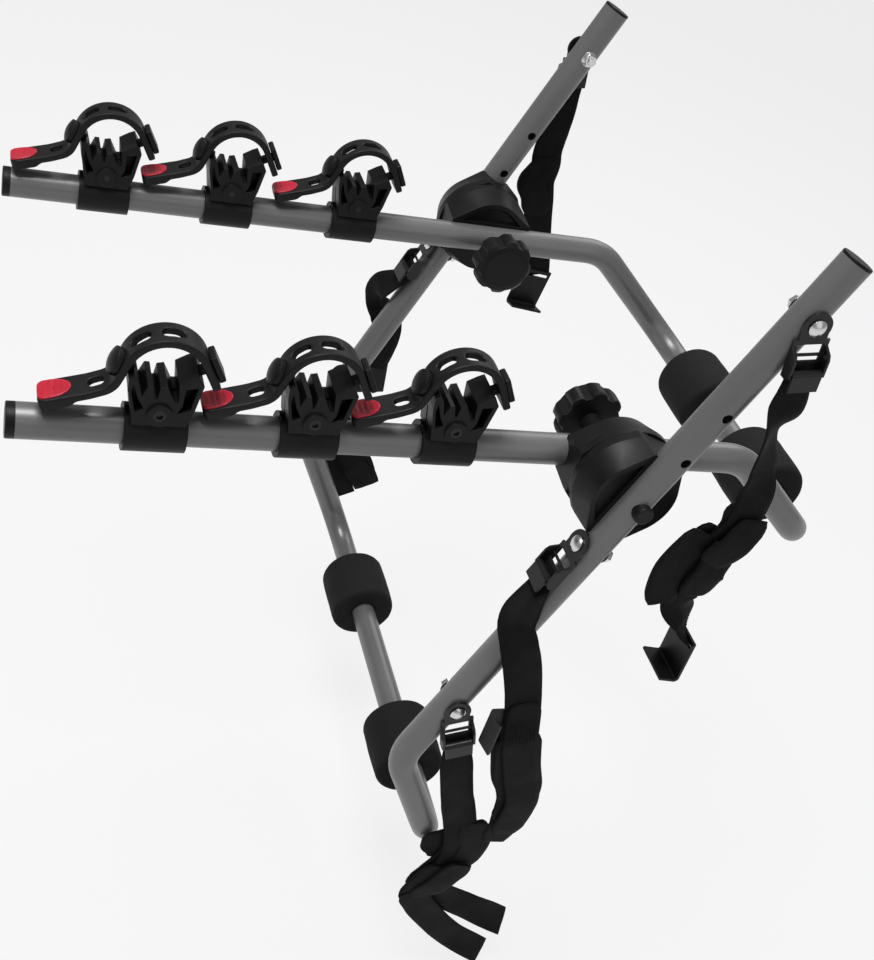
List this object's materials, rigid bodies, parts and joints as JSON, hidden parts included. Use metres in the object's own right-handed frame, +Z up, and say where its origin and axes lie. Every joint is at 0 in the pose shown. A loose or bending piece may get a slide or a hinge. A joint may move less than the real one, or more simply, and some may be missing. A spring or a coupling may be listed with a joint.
{
  "type": "bicycle carrier",
  "caption": "Strap-on bicycle carrier: two hinged tube hoops with clamp hubs, cradles with rubber straps on level arms, foam rollers and buckled straps.",
  "frame": {"origin": "on the hub axis, midway between the two hubs", "axes": "+X to the carrier's right along the hub axis, +Y towards the vehicle, +Z up; the arms reach out along -Y"},
  "size_m": [0.703, 0.9206, 1.0563],
  "materials": {
    "frame_paint": "satin silver-grey powder coat",
    "moulded_plastic": "fine-grained moulded black",
    "foam": "closed-cell black foam",
    "strap_rubber": "matt black rubber",
    "pull_tab": "matt red",
    "bright_fastener": "bright zinc plate",
    "black_steel": "semi-gloss black paint",
    "webbing": "woven black polyester",
    "hook_coating": "black dipped coating"
  },
  "bodies": {
    "lower_frame": {"lower_tube_right": "frame_paint", "lower_tube_left": "frame_paint", "lower_crossbar": "frame_paint", "lower_end_caps": "moulded_plastic", "lower_pad_right": "foam", "lower_pad_left": "foam", "hub_outer_half_right": "moulded_plastic", "hub_outer_half_left": "moulded_plastic", "hub_bolts": "bright_fastener", "hub_bolt_caps": "moulded_plastic", "strap_bolts": "bright_fastener", "strap_nuts": "bright_fastener"},
    "carrier_arms": {"arm_tube_right": "frame_paint", "arm_tube_left": "frame_paint", "upper_crossbar": "frame_paint", "arm_end_caps": "moulded_plastic", "upper_pad_right": "foam", "hub_inner_half_right": "moulded_plastic", "cradle_right_1": "moulded_plastic", "cradle_right_2": "moulded_plastic", "cradle_right_3": "moulded_plastic", "upper_pad_left": "foam", "hub_inner_half_left": "moulded_plastic", "cradle_left_1": "moulded_plastic", "cradle_left_2": "moulded_plastic", "cradle_left_3": "moulded_plastic", "cradle_screws": "black_steel"},
    "knob_right": {"knob_right": "moulded_plastic"},
    "knob_left": {"knob_left": "moulded_plastic"},
    "cradle_strap_right_1": {"cradle_strap_right_1": "strap_rubber"},
    "cradle_strap_right_2": {"cradle_strap_right_2": "strap_rubber"},
    "cradle_strap_right_3": {"cradle_strap_right_3": "strap_rubber"},
    "cradle_strap_left_1": {"cradle_strap_left_1": "strap_rubber"},
    "cradle_strap_left_2": {"cradle_strap_left_2": "strap_rubber"},
    "cradle_strap_left_3": {"cradle_strap_left_3": "strap_rubber"},
    "strap_right_top": {"buckle_right_top": "black_steel", "webbing_right_top": "webbing", "hook_right_top": "hook_coating"},
    "lever_right_top": {"lever_right_top": "black_steel"},
    "strap_right_middle": {"buckle_right_middle": "black_steel", "webbing_right_middle": "webbing", "hook_right_middle": "hook_coating"},
    "lever_right_middle": {"lever_right_middle": "black_steel"},
    "strap_right_bottom": {"buckle_right_bottom": "black_steel", "webbing_right_bottom": "webbing"},
    "lever_right_bottom": {"lever_right_bottom": "black_steel"},
    "strap_left_top": {"buckle_left_top": "black_steel", "webbing_left_top": "webbing", "hook_left_top": "hook_coating"},
    "lever_left_top": {"lever_left_top": "black_steel"},
    "strap_left_middle": {"buckle_left_middle": "black_steel", "webbing_left_middle": "webbing", "hook_left_middle": "hook_coating"},
    "lever_left_middle": {"lever_left_middle": "black_steel"},
    "strap_left_bottom": {"buckle_left_bottom": "black_steel", "webbing_left_bottom": "webbing"},
    "lever_left_bottom": {"lever_left_bottom": "black_steel"}
  },
  "joints": [
    {"name": "arms_fold", "type": "hinge", "parent": "lower_frame", "child": "carrier_arms", "pos_m": [0, 0, 0], "axis": [1, 0, 0], "range_deg": [-40, 69]},
    {"name": "knob_right_turn", "type": "hinge", "parent": "lower_frame", "child": "knob_right", "pos_m": [0.165, 0, 0], "axis": [1, 0, 0], "continuous": true},
    {"name": "knob_left_turn", "type": "hinge", "parent": "lower_frame", "child": "knob_left", "pos_m": [-0.165, 0, 0], "axis": [-1, 0, 0], "continuous": true},
    {"name": "cradle_strap_right_1_open", "type": "hinge", "parent": "carrier_arms", "child": "cradle_strap_right_1", "pos_m": [0.21, -0.41064, 0.06774], "axis": [-1, 0, 0], "range_deg": [0, 95], "deforming": ["cradle_strap_right_1"]},
    {"name": "cradle_strap_right_2_open", "type": "hinge", "parent": "carrier_arms", "child": "cradle_strap_right_2", "pos_m": [0.21, -0.27464, 0.06774], "axis": [-1, 0, 0], "range_deg": [0, 95], "deforming": ["cradle_strap_right_2"]},
    {"name": "cradle_strap_right_3_open", "type": "hinge", "parent": "carrier_arms", "child": "cradle_strap_right_3", "pos_m": [0.21, -0.13964, 0.06774], "axis": [-1, 0, 0], "range_deg": [0, 95], "deforming": ["cradle_strap_right_3"]},
    {"name": "cradle_strap_left_1_open", "type": "hinge", "parent": "carrier_arms", "child": "cradle_strap_left_1", "pos_m": [-0.21, -0.42764, 0.06774], "axis": [-1, 0, 0], "range_deg": [0, 95], "deforming": ["cradle_strap_left_1"]},
    {"name": "cradle_strap_left_2_open", "type": "hinge", "parent": "carrier_arms", "child": "cradle_strap_left_2", "pos_m": [-0.21, -0.29064, 0.06774], "axis": [-1, 0, 0], "range_deg": [0, 95], "deforming": ["cradle_strap_left_2"]},
    {"name": "cradle_strap_left_3_open", "type": "hinge", "parent": "carrier_arms", "child": "cradle_strap_left_3", "pos_m": [-0.21, -0.14164, 0.06774], "axis": [-1, 0, 0], "range_deg": [0, 95], "deforming": ["cradle_strap_left_3"]},
    {"name": "strap_right_top_swivel", "type": "hinge", "parent": "lower_frame", "child": "strap_right_top", "pos_m": [0.303, 0.08191, 0.22026], "axis": [1, 0, 0], "range_deg": [-8, 110]},
    {"name": "lever_right_top_pivot", "type": "hinge", "parent": "strap_right_top", "child": "lever_right_top", "pos_m": [0.313, 0.08815, 0.1762], "axis": [0, -0.9901, -0.14], "range_deg": [0, 75], "stiffness_Nm_per_rad": 0.02, "springref_deg": -28.65},
    {"name": "strap_right_middle_swivel", "type": "hinge", "parent": "lower_frame", "child": "strap_right_middle", "pos_m": [0.286, -0.03946, -0.05734], "axis": [0, -0.9373, 0.3486], "range_deg": [0, 85]},
    {"name": "lever_right_middle_pivot", "type": "hinge", "parent": "strap_right_middle", "child": "lever_right_middle", "pos_m": [0.286, -0.06435, -0.09556], "axis": [-1, 0, 0], "range_deg": [0, 75], "stiffness_Nm_per_rad": 0.02, "springref_deg": -28.65},
    {"name": "strap_right_bottom_swivel", "type": "hinge", "parent": "lower_frame", "child": "strap_right_bottom", "pos_m": [0.303, -0.10562, -0.284], "axis": [1, 0, 0], "range_deg": [-45, 40]},
    {"name": "lever_right_bottom_pivot", "type": "hinge", "parent": "strap_right_bottom", "child": "lever_right_bottom", "pos_m": [0.313, -0.09404, -0.32696], "axis": [0, -0.9656, -0.2602], "range_deg": [0, 75], "stiffness_Nm_per_rad": 0.02, "springref_deg": -28.65},
    {"name": "strap_left_top_swivel", "type": "hinge", "parent": "lower_frame", "child": "strap_left_top", "pos_m": [-0.303, 0.08191, 0.22026], "axis": [1, 0, 0], "range_deg": [-8, 110]},
    {"name": "lever_left_top_pivot", "type": "hinge", "parent": "strap_left_top", "child": "lever_left_top", "pos_m": [-0.313, 0.08815, 0.1762], "axis": [0, 0.9901, 0.14], "range_deg": [0, 75], "stiffness_Nm_per_rad": 0.02, "springref_deg": -28.65},
    {"name": "strap_left_middle_swivel", "type": "hinge", "parent": "lower_frame", "child": "strap_left_middle", "pos_m": [-0.286, -0.03946, -0.05734], "axis": [0, 0.9373, -0.3486], "range_deg": [0, 85]},
    {"name": "lever_left_middle_pivot", "type": "hinge", "parent": "strap_left_middle", "child": "lever_left_middle", "pos_m": [-0.286, -0.06435, -0.09556], "axis": [-1, 0, 0], "range_deg": [0, 75], "stiffness_Nm_per_rad": 0.02, "springref_deg": -28.65},
    {"name": "strap_left_bottom_swivel", "type": "hinge", "parent": "lower_frame", "child": "strap_left_bottom", "pos_m": [-0.303, -0.10562, -0.284], "axis": [1, 0, 0], "range_deg": [-45, 40]},
    {"name": "lever_left_bottom_pivot", "type": "hinge", "parent": "strap_left_bottom", "child": "lever_left_bottom", "pos_m": [-0.313, -0.09404, -0.32696], "axis": [0, 0.9656, 0.2602], "range_deg": [0, 75], "stiffness_Nm_per_rad": 0.02, "springref_deg": -28.65}
  ]
}
